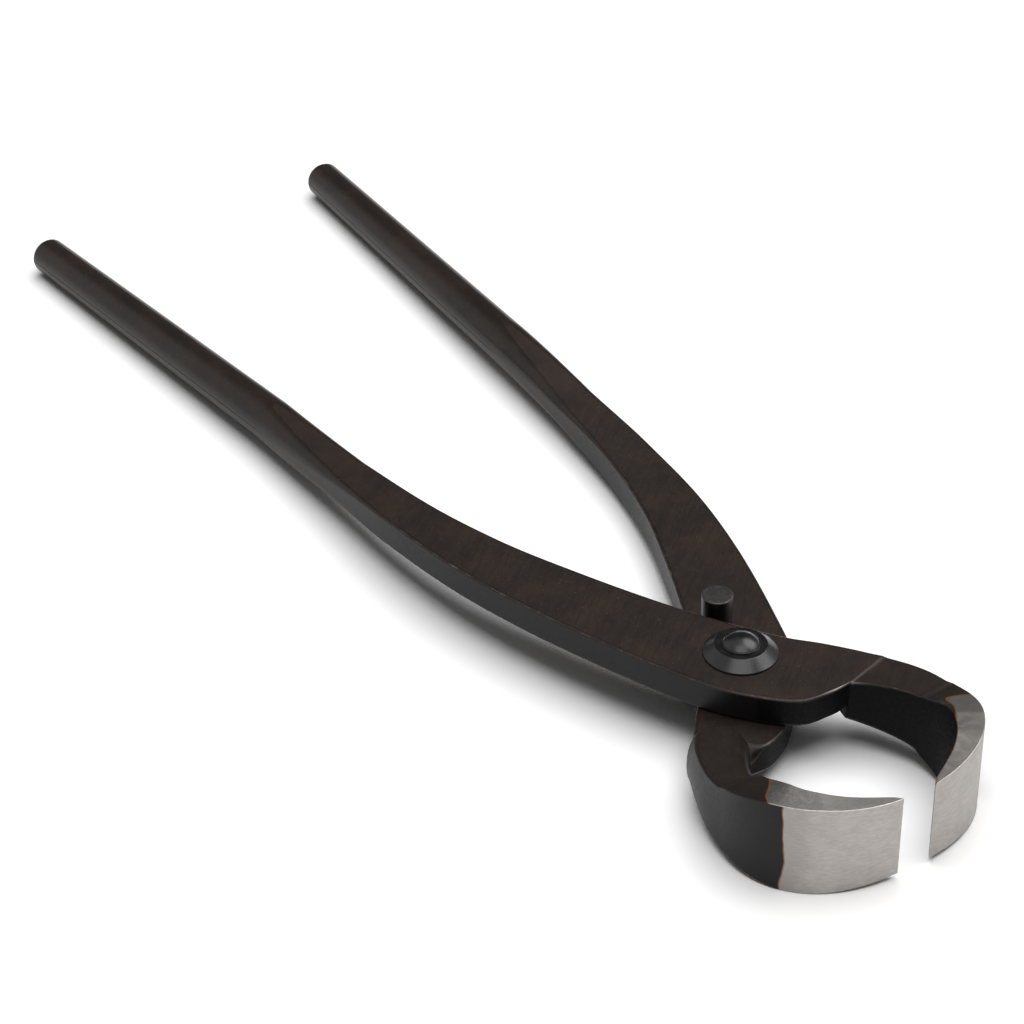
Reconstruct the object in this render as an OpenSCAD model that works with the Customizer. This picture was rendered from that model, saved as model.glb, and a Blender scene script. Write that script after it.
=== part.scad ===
// Root cutter: two identical forged arms, lapped and riveted, with end jaws whose edges meet edge to edge.
// Millimetres. The arms are drawn with the jaws shut, the pivot on Z and the jaws towards +X,
// then each is swung by half of the opening and the tool is set down on its jaw sides.

/* [Handles] */
// Distance from the pivot to the end of the upper arm's handle, along the shut tool
handle_reach = 170; // [150:1:185]
// How much shorter the lower arm's handle is
reach_vary = 2.8; // [0:0.2:4]
// Distance between the two handle centre lines with the jaws shut
handle_spread = 32.1; // [30:0.1:38]
// Height of the handles' centre lines above the lapped faces' plane: they lie side by side in it
handle_level = 0; // [-0.5:0.1:2.4]
// Diameter of a handle near its rounded end
handle_end_d = 6.3; // [5.8:0.1:7.2]
// Diameter of a handle where its ground flats begin
handle_root_d = 7.4; // [6.8:0.1:8.4]
// Depth of the rounding at a handle's end, as a share of the handle's radius
end_round = 0.6; // [0.4:0.05:1]
// How far hand bending leaves a handle's end off its line: inwards on the lower arm, outwards on the upper
end_stray = 0.75; // [0:0.05:1]
// The same where the flats begin, the other way
root_stray = 0.5; // [0:0.05:0.8]
// Length of the round part of a handle, from its end to where the flats begin
grip_len = 70; // [50:1:80]
// Length of the sloping stretch in which the flats come down to the plate's thickness
flat_run = 23; // [16:1:28]

/* [Plates] */
// Thickness of the flat plates that lap at the pivot
plate_t = 4.8; // [4.2:0.1:5.4]
// Width of the eased edge along the plates
plate_ease = 0.55; // [0.3:0.05:0.8]
// Gap between the two lapped faces
lap_gap = 0.1; // [0.04:0.02:0.2]
// How far the round cheek reaches past the pivot towards the jaws
cheek_reach = 15.3; // [14:0.1:16.5]
// How much further back the nose of the lower arm's cheek is ground
nose_cut = 1.8; // [0:0.1:2.2]

/* [Jaws] */
// Distance from the pivot to the cutting edges
jaw_reach = 41.5; // [38:0.5:45]
// Height of the jaws where they are tallest
jaw_h = 15.2; // [14:0.1:17]
// How much lower than that each end of a cutting edge is
edge_drop = 0.8; // [0.3:0.05:1.5]
// Width left at the very edge
edge_land = 0.1; // [0.06:0.02:0.2]
// Distance from the shut edges' plane to the outside of a jaw at its widest
jaw_bulge = 19.1; // [18:0.1:21]
// How much the lower jaw stands out past that, and the upper jaw stays inside it
jaw_vary = 0.3; // [0:0.05:0.5]
// How far the forged wall swells out beside the cheek
wall_swell = 1.1; // [0.4:0.1:1.4]
// Thickness of a jaw's wall at its widest place
wall_t = 6; // [5:0.1:7]
// Height of the shoulder where a jaw steps past the other arm's plate
shoulder_h = 2.3; // [1.5:0.1:3]
// How far the middle of the shoulder's round front stands behind its ends
shoulder_bow = 2.7; // [0:0.1:3]
// Corner rounding left on the ground sides of the jaws
ground_ease = 0.12; // [0.08:0.02:0.3]

/* [Rivet and washers] */
// Diameter of the rivet's shank
rivet_d = 5; // [4.4:0.1:5.4]
// Radial play of the upper arm on the shank
pivot_play = 0.05; // [0.02:0.01:0.1]
// Play between the upper arm and the top washer
washer_play = 0.05; // [0.02:0.01:0.1]
// Diameter of the collar under the rivet's domed head
collar_d = 5.9; // [5.7:0.1:6.6]
// Height of that collar
collar_h = 0.3; // [0.2:0.05:0.5]
// Height of the dome above the collar
dome_h = 1.15; // [0.8:0.05:1.6]
// Width of the step between the collar's rim and the dome
dome_step = 0.25; // [0.15:0.05:0.4]
// Outer diameter of both washers
washer_d = 11.3; // [10.4:0.1:12.4]
// Diameter of the flat top of a washer
washer_top_d = 7.9; // [7.4:0.1:8.6]
// Height of the top washer
top_washer_h = 1.7; // [1.2:0.1:2]
// Height of the bottom washer
bottom_washer_h = 1.2; // [0.8:0.1:1.3]
// Height of the straight rim of both washers
washer_rim_h = 0.25; // [0.15:0.05:0.4]
// Diameter of the rivet's peened lower end
peened_d = 6.6; // [5.8:0.1:7]
// Height of the rivet's peened lower end
peened_h = 0.6; // [0.4:0.05:0.65]

/* [Stop pin] */
// Diameter of the stop pin
pin_d = 4.8; // [4.2:0.1:5.2]
// Height of the stop pin above the lapped face
pin_h = 6.4; // [5:0.1:7.5]
// Width of the eased edge on the pin's top
pin_ease = 0.25; // [0.1:0.05:0.4]
// Gap left between the pin and the upper arm when the jaws are shut
stop_gap = 0.08; // [0.04:0.02:0.3]

/* [Pose] */
// Angle between the arms, counted from shut jaws
opening = 7.94; // [4:0.02:20]

/* [Hidden] */

steel_dark = [0.20, 0.18, 0.165];
steel_satin = [0.28, 0.28, 0.29];

// Levels, measured from the middle of the lap
plate_bottom = lap_gap / 2;
plate_top = plate_bottom + plate_t;
plate_mid = plate_bottom + plate_t / 2;
jaw_half = jaw_h / 2;
collar_base = plate_top + washer_play + top_washer_h;
peened_base = plate_top + bottom_washer_h;
base_depth = max(jaw_half, peened_base + peened_h);

// Handle: a tapered round bar along -X
handle_y = -handle_spread / 2;
flats_x = grip_len - handle_reach;
plate_x = flats_x + flat_run;
root_r = handle_root_d / 2;
end_r = handle_end_d / 2;
function end_x(side) = end_round * end_r - handle_reach + (side > 0 ? reach_vary : 0);

// Where the plates end and the arms are set over towards the plane of the handles
set_x = -45;
bend_x = -60;
function arm_level(x) = mix(plate_mid, handle_level, ease((set_x - x) / (set_x - flats_x)));

// How far a handle's centre line is off handle_y
function stray(x, side) = side * (x < flats_x
    ? mix(-root_stray, end_stray, (flats_x - x) / (flats_x - end_x(side)))
    : -root_stray * clamp01((bend_x - x) / (bend_x - flats_x)));

// Ribs of the plate from the flats to the notch: the edge that faces the other handle, then the outer edge
function inner_ribs(side) = [
    [flats_x, handle_y + root_r + stray(flats_x, side)],
    [plate_x, handle_y + root_r - 0.8 + stray(plate_x, side)],
    [bend_x, handle_y + 3.0],
    [set_x, handle_y + 5.35],
    [-30, -6.0],
    [-16, -0.7],
    [-6, 4.0],
    [0.8, 7.8],
    [5.2, 11.15],
    [9.6, 14.1],
    [13.4, 16.3]
];
function outer_ribs(cut, side) = [
    [flats_x, handle_y - root_r + stray(flats_x, side)],
    [plate_x, handle_y - root_r - 0.7 + stray(plate_x, side)],
    [bend_x, handle_y - 5.1],
    [set_x, handle_y - 4.75],
    [-29, -18.3],
    [-12, -14.0],
    [1.7, -9.5],
    [cheek_reach - 6.3 - 0.3 * cut, -5.35 + 0.6 * cut],
    [cheek_reach - 1.2 - 0.8 * cut, -0.6 + 0.3 * cut],
    [cheek_reach - 0.15 - 0.1 * cut, 4.2],
    [cheek_reach - 0.1, 8.0]
];
last_rib = 10;
notch = inner_ribs(1)[last_rib];

// Jaw: from the notch the wall runs out to its widest place, then hooks round to the edge
bulge_x = 25.5;
hook_power = 2.2;
// Shares of that way, 0 to 1 up to the widest place and 1 to 2 round to the edge
grind_start = 0.9;
grind_end = 1.33;
slope_end = 1.6;
// Shoulder: its front runs back from the notch to the wall's outside, in ribs, and it is as steep as this
shoulder_lag = 0.75;
shoulder_front = 0.07;
bow_start = 3;
bow_end = 0.6;

// Fineness of the loft
corner_steps = 6;
side_steps = 3;
bow_steps = 6;
rib_steps = 4;
link_steps = 14;
hook_steps = 18;
tip_steps = 5;
$fn = 96;

function mix(a, b, f) = a * (1 - f) + b * f;
function clamp01(f) = max(0, min(1, f));
function ease(f) = let (c = clamp01(f)) c * c * (3 - 2 * c);

// Smooth curve through a list of points, one unit of t per point
function knot(p, i) = i < 0 ? 2 * p[0] - p[1] : i >= len(p) ? 2 * p[len(p) - 1] - p[len(p) - 2] : p[i];
function blend4(a, b, c, d, f) =
    (2 * b + (c - a) * f + (2 * a - 5 * b + 4 * c - d) * f * f + (3 * b - a - 3 * c + d) * f * f * f) / 2;
function along(p, t) =
    let (i = min(floor(t), len(p) - 2))
    blend4(knot(p, i - 1), knot(p, i), knot(p, i + 1), knot(p, i + 2), t - i);

// Curve between two points with given directions at its ends
function hermite(a, da, b, db, f) =
    a * (2 * f * f * f - 3 * f * f + 1) + da * (f * f * f - 2 * f * f + f)
    + b * (3 * f * f - 2 * f * f * f) + db * (f * f * f - f * f);

// Outside of the jaw's hook: 90 degrees is its widest place, 0 the cutting edge
function hook_out(a) = [
    bulge_x + (jaw_reach - bulge_x) * pow(cos(a), 2 / hook_power),
    jaw_bulge * pow(sin(a), 2 / hook_power)
];
function hook_inward(a) =
    let (d = hook_out(max(a - 0.5, 0)) - hook_out(min(a + 0.5, 90)))
    [d[1], -d[0]] / norm(d);
function hook_in(a) = hook_out(a) + hook_inward(a) * wall_t * sqrt(a / 90);

// Heights of the jaw's own side and of the side that passes the other arm, by q as above
function ground(q) = pow(clamp01((q - grind_start) / (grind_end - grind_start)), 1.2);
function fall(q) = edge_drop * clamp01((q - slope_end) / (2 - slope_end));
function jaw_top(q) = mix(plate_top + 0.75 * ease(q / 0.8), jaw_half, ground(q)) - fall(q);
function jaw_bottom(q) = fall(q) - mix(shoulder_h * (1 + max(q, 0)), jaw_half, ground(q));
function jaw_ease(q) = mix(plate_ease, ground_ease, clamp01(q / grind_end));

// How far the jaw's outside is moved out: by hand work over the whole wall, and by the swell at mid height
function vary(q) = jaw_vary * (q < 1 ? ease(q / 0.8) : sqrt(max(2 - q, 0)));
function swell(q) = wall_swell * ease((q + 0.6) / 0.6) * (1 - ease(q));

// The arm's edge that faces the other arm, past the last rib too
function inner_path(t, side) = t <= last_rib
    ? along(inner_ribs(side), t)
    : hermite(notch, [12, 5.6], hook_out(90), [13, 0], t - last_rib);

// Share of the shoulder's bow at a station, full where its front is
function bow(t) = t <= last_rib ? ease(1 + (t - last_rib) / bow_start) : 1 - ease((t - last_rib) / bow_end);

// A station of the loft: outer point, inner point, low level, high level, corner width, corner height,
// push of the inner point's whole side, swell of that side, the inner point of the low side, bow of the low side
function bar(x, r, side) =
    let (y = handle_y + stray(x, side), z = arm_level(x))
    [[x, y - r], [x, y + r], z - r, z + r, r, r, 0, 0, [x, y + r], 0];
function tip_stations(side) = [
    for (i = [0 : tip_steps])
        let (a = mix(8, 90, i / tip_steps))
        bar(end_x(side) - end_round * end_r * cos(a), end_r * sin(a), side)
];
function rib_station(t, cut, side) =
    let (
        o = along(outer_ribs(cut, side), t),
        n = inner_path(t, side),
        z = arm_level((o[0] + n[0]) / 2),
        half = t < 1 ? mix(root_r, plate_t / 2, t) : plate_t / 2,
        shed = ease(t / 2),
        w = norm(n - o) / 2
    )
    [o, n, t < last_rib ? z - half : jaw_bottom(0), z + half,
        mix(w, plate_ease, pow(shed, 0.35)),
        mix(half, plate_ease * 0.65, shed),
        0, swell(t - last_rib),
        inner_path(t - shoulder_lag * bow(t), side), shoulder_bow * bow(t)];
function rib_stations(cut, side) = concat(
    [for (i = [0 : last_rib * rib_steps - 1]) rib_station(i / rib_steps, cut, side)],
    [rib_station(last_rib - shoulder_front, cut, side), rib_station(last_rib, cut, side)]
);
function link_station(q, cut, side) =
    let (
        t = last_rib + q,
        o = hermite(outer_ribs(cut, side)[last_rib], [4.5, 5.5], hook_in(90), [9, 0.8], q)
    )
    [o, inner_path(t, side), jaw_bottom(q), jaw_top(q), jaw_ease(q), jaw_ease(q) * 0.65, side * vary(q), swell(q),
        inner_path(t - shoulder_lag * bow(t), side), shoulder_bow * bow(t)];
function link_stations(cut, side) = [
    for (i = [1 : link_steps]) link_station(pow(i / link_steps, 1.3), cut, side)
];
function hook_station(a, side) =
    let (q = 2 - a / 90, c = min(jaw_ease(q), norm(hook_in(a) - hook_out(a)) / 3))
    [hook_in(a), hook_out(a), jaw_bottom(q), jaw_top(q), c, c, side * vary(q), 0, hook_out(a), 0];
function hook_stations(side) = [
    for (i = [hook_steps - 1 : -1 : 1]) hook_station(90 * i / hook_steps, side)
];
function edge_stations() = [
    hook_station(2, 0),
    [[jaw_reach - edge_land, 0], [jaw_reach, 0], jaw_bottom(2), jaw_top(2), edge_land / 3, edge_land / 3, 0, 0,
        [jaw_reach, 0], 0]
];

// Rounded rectangle standing on the line from the outer to the inner point of a station
function side_push(s, z) = let (f = clamp01((z - s[2]) / (s[3] - s[2]))) s[6] + s[7] * 4 * f * (1 - f);
function place(s, n, bend, share, z) =
    let (
        half = norm(n - s[0]) / 2,
        dir = (n - s[0]) / (2 * half),
        u = share * half + (share > 0 ? side_push(s, z) * share : 0),
        back = bend * (1 - share * share) * (1 + 0.35 * share)
    )
    [(s[0][0] + n[0]) / 2 + dir[0] * u - dir[1] * back, (s[0][1] + n[1]) / 2 + dir[1] * u + dir[0] * back, z];
function share_at(s, n, a) = 1 - 2 * s[4] / norm(n - s[0]) * (1 - cos(a) / trim);
function corner(s, side, up, a) =
    let (
        n = up > 0 ? s[1] : s[8],
        share = side * share_at(s, n, a),
        z = up > 0 ? s[3] - s[5] + s[5] * sin(a) / trim : s[2] + s[5] - s[5] * sin(a) / trim
    )
    place(s, n, up > 0 ? 0 : s[9], share, z);
corner_angles = [for (i = [0 : corner_steps - 1]) 90 * (i + 0.5) / corner_steps];
trim = cos(45 / corner_steps);
function ring(s) = concat(
    [for (i = [0 : corner_steps - 1]) corner(s, 1, 1, corner_angles[i])],
    [for (i = [corner_steps - 1 : -1 : 0]) corner(s, -1, 1, corner_angles[i])],
    [for (i = [0 : corner_steps - 1]) corner(s, -1, -1, corner_angles[i])],
    [for (i = [1 : bow_steps])
        let (f = 2 * i / (bow_steps + 1) - 1)
        place(s, s[8], s[9], f * share_at(s, s[8], corner_angles[corner_steps - 1]), s[2])],
    [for (i = [corner_steps - 1 : -1 : 0]) corner(s, 1, -1, corner_angles[i])],
    [for (i = [1 : side_steps])
        let (f = i / (side_steps + 1), in = s[5] * (1 - tan(45 / corner_steps)))
        place(s, mix(s[8], s[1], f), 0, 1, mix(s[2] + in, s[3] - in, f))]
);

// Middle of a ring of points
function sum(list, i = 0) = i < len(list) ? list[i] + sum(list, i + 1) : 0;
function middle(points) = [for (k = [0 : 2]) sum([for (p = points) p[k]]) / len(points)];

// Skin over a list of rings with the same number of points, each end closed by a fan
module loft(stations) {
    rings = [for (s = stations) ring(s)];
    n = len(rings[0]);
    last = len(rings) - 1;
    points = concat([for (r = rings, p = r) p], [middle(rings[0]), middle(rings[last])]);
    sides = [
        for (i = [0 : last - 1], j = [0 : n - 1], half = [0, 1])
            let (a = i * n + j, b = i * n + (j + 1) % n)
            half == 0 ? [a, b, b + n] : [a, b + n, a + n]
    ];
    start = [for (j = [0 : n - 1]) [j, (last + 1) * n, (j + 1) % n]];
    end = [for (j = [0 : n - 1]) [last * n + j, last * n + (j + 1) % n, (last + 1) * n + 1]];
    polyhedron(points = points, faces = concat(sides, start, end), convexity = 8);
}

module arm_blank(cut, side) {
    loft(concat(
        tip_stations(side),
        rib_stations(cut, side),
        link_stations(cut, side),
        hook_stations(side),
        edge_stations()
    ));
}

// Drilling through the whole arm at a place in its plan
module drill(place, d) {
    translate([place[0], place[1], plate_bottom - 1])
        cylinder(d = d, h = plate_t + 2);
}

// The stop pin's centre with the jaws shut: square off the upper arm's inner edge
pin_t = 5.44;
pin_foot = inner_path(pin_t, -1);
pin_run = inner_path(pin_t + 0.05, -1) - inner_path(pin_t - 0.05, -1);
pin_centre = pin_foot + [-pin_run[1], pin_run[0]] / norm(pin_run) * (pin_d / 2 + stop_gap);

// Middle of the tool's box as posed, so that the origin lies under it: the edges are furthest forward,
// the upper arm's longer handle furthest back, and each handle's rounded end furthest out on its side
swing = opening / 2;
front_x = jaw_reach * cos(swing);
back_x = end_x(-1) * cos(swing) - (handle_y - end_stray) * sin(swing)
    - end_r * norm([end_round * cos(swing), sin(swing)]);
function far_y(side) = end_x(side) * sin(swing) + (handle_y + side * end_stray) * cos(swing)
    - end_r * norm([end_round * sin(swing), cos(swing)]);
box_mid_x = (front_x + back_x) / 2;
box_mid_y = (far_y(-1) - far_y(1)) / 2;

module set_down() {
    translate([-box_mid_x, -box_mid_y, base_depth])
        children();
}

module upper_side() {
    set_down()
        rotate([0, 0, swing])
            children();
}

module lower_side() {
    set_down()
        rotate([0, 0, -swing])
            children();
}

module turn_over() {
    rotate([180, 0, 0])
        children();
}

module upper_arm() {
    color(steel_dark)
        upper_side()
            difference() {
                arm_blank(0, -1);
                drill([0, 0], rivet_d + 2 * pivot_play);
            }
}

module lower_arm() {
    color(steel_dark)
        lower_side()
            turn_over()
                difference() {
                    arm_blank(nose_cut, 1);
                    drill([0, 0], rivet_d);
                    drill([pin_centre[0], -pin_centre[1]], pin_d);
                }
}

module washer(h) {
    rotate_extrude()
        polygon([
            [rivet_d / 2, 0],
            [washer_d / 2, 0],
            [washer_d / 2, washer_rim_h],
            [washer_top_d / 2, h],
            [rivet_d / 2, h]
        ]);
}

module top_washer() {
    color(steel_satin)
        lower_side()
            translate([0, 0, plate_top + washer_play])
                washer(top_washer_h);
}

module bottom_washer() {
    color(steel_satin)
        lower_side()
            turn_over()
                translate([0, 0, plate_top])
                    washer(bottom_washer_h);
}

// Low dome over a round foot, as a slice of a sphere
module dome(d, h) {
    r = (d * d / 4 + h * h) / (2 * h);
    intersection() {
        translate([0, 0, h - r])
            sphere(r = r);
        cylinder(d = d, h = 2 * h);
    }
}

module pivot_rivet() {
    color(steel_satin)
        lower_side() {
            translate([0, 0, -peened_base])
                cylinder(d = rivet_d, h = peened_base + collar_base);
            translate([0, 0, collar_base])
                cylinder(d = collar_d, h = collar_h);
            translate([0, 0, collar_base + collar_h])
                dome(collar_d - 2 * dome_step, dome_h);
            turn_over()
                translate([0, 0, peened_base])
                    dome(peened_d, peened_h);
        }
}

module stop_pin() {
    color(steel_dark)
        lower_side()
            translate([pin_centre[0], pin_centre[1], -plate_top])
                rotate_extrude()
                    polygon([
                        [0, 0],
                        [pin_d / 2, 0],
                        [pin_d / 2, plate_top + pin_h - pin_ease],
                        [pin_d / 2 - pin_ease, plate_top + pin_h],
                        [0, plate_top + pin_h]
                    ]);
}

upper_arm();
lower_arm();
pivot_rivet();
top_washer();
bottom_washer();
stop_pin();
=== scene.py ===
"""Looks of a root cutter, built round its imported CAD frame.

Two forged arms with black oxide on them are lapped and riveted. Their jaws are ground bright at the
cutting edges. The tool lies on a white sheet under a large soft lamp. Lengths in the classes are in
millimetres, in the drawing of one arm: jaws shut, pivot on Z, jaws towards +X.
"""

import logging
import math
from dataclasses import dataclass, field
from enum import Enum
from typing import Callable, Sequence

import bpy
import numpy as np
from mathutils import Matrix, Vector

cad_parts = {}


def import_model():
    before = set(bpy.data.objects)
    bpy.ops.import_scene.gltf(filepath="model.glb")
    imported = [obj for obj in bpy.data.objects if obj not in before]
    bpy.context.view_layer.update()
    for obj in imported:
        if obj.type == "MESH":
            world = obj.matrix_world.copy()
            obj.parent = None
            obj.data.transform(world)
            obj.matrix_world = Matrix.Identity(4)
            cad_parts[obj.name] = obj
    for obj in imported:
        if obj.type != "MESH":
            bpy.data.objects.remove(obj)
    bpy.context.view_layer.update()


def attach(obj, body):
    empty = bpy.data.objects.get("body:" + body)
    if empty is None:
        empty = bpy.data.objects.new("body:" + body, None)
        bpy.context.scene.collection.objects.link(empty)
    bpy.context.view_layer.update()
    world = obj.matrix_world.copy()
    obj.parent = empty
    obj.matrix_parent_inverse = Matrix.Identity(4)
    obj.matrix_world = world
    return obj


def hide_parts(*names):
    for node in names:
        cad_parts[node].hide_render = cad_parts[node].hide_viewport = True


LOG = logging.getLogger("root_cutter")
MM = 0.001
ON_LINE = 1e-6
HOLD_GAP = 0.04
DRILL_REACH = 20.0
FORGED_EDGE = 32.0
TURNED_EDGE = 38.0
Triple = tuple[float, float, float]
Colour = Triple
Outline = list[tuple[float, float]]
Array = np.ndarray
Ring = list[tuple[Array, Triple]]
Material, Piece = bpy.types.Material, bpy.types.Object
Tree, Node, Socket = bpy.types.NodeTree, bpy.types.Node, bpy.types.NodeSocket
Sockets = dict[str, Socket]
Value = Socket | float | Sequence[float]


class Arm(Enum):
    """The arm that lies on top at the rivet, and the one turned over under it."""

    UPPER = -1
    LOWER = 1


class Mark(Enum):
    """What a point of an arm's surface remembers for its finish."""

    SHINE = "shine"
    WEAR = "wear"
    # Bright steel on the nose's top corner, partly a rubbed corner and partly a painted highlight, and a faint
    # painted highlight line across the top at the ridge.
    POLISH_AND_HIGHLIGHT = "polish_and_highlight"
    PIT = "pit"
    FLAT = "flat"
    WALL = "wall"


def mix(a: float, b: float, share: float) -> float:
    """The value that lies at this share of the way from a to b."""
    return a * (1 - share) + b * share


def clamp01(value: float) -> float:
    """The value kept between 0 and 1."""
    return max(0.0, min(1.0, value))


def ease(value: float) -> float:
    """A smooth step from 0 to 1."""
    held = clamp01(value)
    return held * held * (3 - 2 * held)


def ramp(value: float) -> float:
    """An even rise from 0 to 1 that starts and ends softly."""
    return mix(value, ease(value), 0.35)


def soft_least(a: float, b: float, width: float) -> float:
    """The lesser of two values, with the change from one to the other rounded over a width."""
    share = clamp01(0.5 + (b - a) / (2 * width))
    return mix(b, a, share) - width * share * (1 - share)


def hump(value: float, middle: float, reach: float) -> float:
    """A smooth hill of height 1 round middle, down to 0 at reach on both sides."""
    return ease(1 - abs(value - middle) / reach)


def through(points: Array, t: float) -> Array:
    """A smooth curve through a list of points.

    Args:
        points: The points, one unit of t apart.
        t: Where on the curve.

    Returns:
        The point at t.
    """
    first = min(int(math.floor(t)), len(points) - 2)
    padded = np.vstack([2 * points[0] - points[1], points, 2 * points[-1] - points[-2]])
    a, b, c, d = padded[first:first + 4]
    f = t - first
    return (2 * b + (c - a) * f + (2 * a - 5 * b + 4 * c - d) * f ** 2 + (3 * b - a - 3 * c + d) * f ** 3) / 2


def hermite(start: Sequence[float], leaving: Sequence[float], end: Sequence[float], arriving: Sequence[float],
            f: float) -> Array:
    """A curve between two points with given directions at its ends.

    Args:
        start: First point.
        leaving: Direction and speed at the first point.
        end: Last point.
        arriving: Direction and speed at the last point.
        f: Share of the way.

    Returns:
        The point at f.
    """
    a, da, b, db = (np.asarray(v, float) for v in (start, leaving, end, arriving))
    return (a * (2 * f ** 3 - 3 * f ** 2 + 1) + da * (f ** 3 - 2 * f ** 2 + f)
            + b * (3 * f ** 2 - 2 * f ** 3) + db * (f ** 3 - f ** 2))


@dataclass(frozen=True)
class Setting:
    """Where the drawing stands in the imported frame."""

    pivot_x: float = 63.5205
    pivot_y: float = 0.8451
    pivot_z: float = 7.6
    swing: float = 3.97

    @property
    def pivot(self) -> Triple:
        """The pivot on the lapped faces, in millimetres."""
        return self.pivot_x, self.pivot_y, self.pivot_z

    def turn(self, points: Array, arm: Arm) -> Array:
        """Swings a drawn arm to the rest pose and sets it in the frame.

        Args:
            points: Points of the drawing, in millimetres, one a row.
            arm: Which arm they belong to. The lower one is turned over first.

        Returns:
            The points in the frame, in metres.
        """
        flip = np.array([1.0, -arm.value, -arm.value])
        turned = points * flip
        angle = math.radians(-arm.value * self.swing)
        c, s = math.cos(angle), math.sin(angle)
        x, y = turned[:, 0] * c - turned[:, 1] * s, turned[:, 0] * s + turned[:, 1] * c
        return np.stack([x + self.pivot_x, y + self.pivot_y, turned[:, 2] + self.pivot_z], 1) * MM


@dataclass
class Station:
    """One cross-section of an arm: a rounded rectangle that stands on a line in its plan."""

    back: Array
    front: Array
    low: float
    high: float
    round_w: float
    round_h: float
    way: float = -10.0
    push: float = 0.0
    swell: float = 0.0
    low_front: Array | None = None
    bow: float = 0.0
    t: float = 0.0
    low_back: float = 0.0

    def __post_init__(self) -> None:
        """Gives the low side the high side's front point, unless it has one of its own."""
        if self.low_front is None:
            self.low_front = self.front

    def up(self, z: float) -> float:
        """Share of the section's height at a level."""
        return clamp01((z - self.low) / (self.high - self.low))

    def side_push(self, z: float) -> float:
        """How far the front side stands out at a level."""
        return self.push + self.swell * 4 * self.up(z) * (1 - self.up(z))

    def line(self, level: int) -> tuple[Array, float]:
        """Front point and bow of the low side (-1) or the high side (1)."""
        return (self.front, 0.0) if level > 0 else (self.low_front, self.bow)

    def extra(self, side: int, level: int) -> float:
        """Extra rounding of a corner."""
        return self.low_back if side < 0 and level < 0 else 0.0

    def reach(self, side: int, level: int, angle: float) -> float:
        """Share across the section at an angle into a corner."""
        soft = 2 * (self.round_w + self.extra(side, level)) / float(np.hypot(*(self.line(level)[0] - self.back)))
        return 1 - soft * (1 - math.cos(math.radians(angle)))

    def place(self, front: Array, bend: float, share: float, z: float) -> Array:
        """A point of the section.

        Args:
            front: The plan's front point on this level.
            bend: How far the middle is bowed along the arm.
            share: -1 at the back side, 1 at the front side.
            z: Its height.

        Returns:
            The point.
        """
        line = front - self.back
        half = float(np.hypot(*line)) / 2
        run = line / (2 * half)
        u = share * half + (self.side_push(z) * share if share > 0 else 0.0)
        back = bend * (1 - share * share) * (1 + 0.35 * share)
        x, y = (self.back + front) / 2 + run * u + np.array([-run[1], run[0]]) * back
        return np.array([x, y, z])

    def corner(self, side: int, level: int, angles: Sequence[float]) -> Ring:
        """A rounded corner.

        Args:
            side: -1 at the back, 1 at the front.
            level: -1 low, 1 high.
            angles: Angles into the corner, in the order of its points.

        Returns:
            The points and their notes.
        """
        (front, bend), extra = self.line(level), self.extra(side, level)
        ring: Ring = []
        for angle in angles:
            rise = (self.round_h + extra) * (1 - math.sin(math.radians(angle)))
            z = self.high - rise if level > 0 else self.low + rise
            into = math.sin(math.radians(2 * angle)) * (1 - clamp01(extra))
            ring.append((self.place(front, bend, side * self.reach(side, level, angle), z), (side, level, into)))
        return ring

    def across(self, level: int, steps: int) -> Ring:
        """The flat low side towards the front, or the high side towards the back.

        Args:
            level: -1 low, 1 high.
            steps: Number of points.

        Returns:
            The points and their notes.
        """
        front, bend = self.line(level)
        left, right = (self.reach(side, level, 90) for side in (-1, 1))
        lip = min(0.15, 0.12 / max(float(np.hypot(*(front - self.back))), 0.1))
        stops = [-1 + lip, *np.linspace(-1, 1, steps)[1:-1], 1 - lip]
        shares = [mix(-left, right, (1 - level * f) / 2) for f in stops]
        return [(self.place(front, bend, share, self.high if level > 0 else self.low), (0.0, level, 0.0))
                for share in shares]

    def upright(self, side: int, steps: int) -> Ring:
        """The back side downwards, or the front side upwards.

        Args:
            side: -1 back, 1 front.
            steps: Number of points between its ends.

        Returns:
            The points and their notes.
        """
        inset = min(0.08, self.round_h * 0.3)
        z0, z1 = self.low + self.round_h + self.extra(side, -1) + inset, self.high - self.round_h - inset
        ring: Ring = []
        for f in np.linspace(0, 1, steps + 2):
            z = mix(z0, z1, f if side > 0 else 1 - f)
            front = self.low_front + (self.front - self.low_front) * self.up(z) if side > 0 else self.front
            ring.append((self.place(front, 0.0, side, z), (side, 0.0, 0.0)))
        return ring


@dataclass(frozen=True)
class GrindLine:
    """Where ground steel begins: a point on that line, and the way to its bright side."""

    x: float
    y: float
    along_x: float
    along_y: float

    def past(self, x: float, y: float) -> float:
        """How far a point is on the bright side."""
        return (x - self.x) * self.along_x + (y - self.y) * self.along_y


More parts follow.
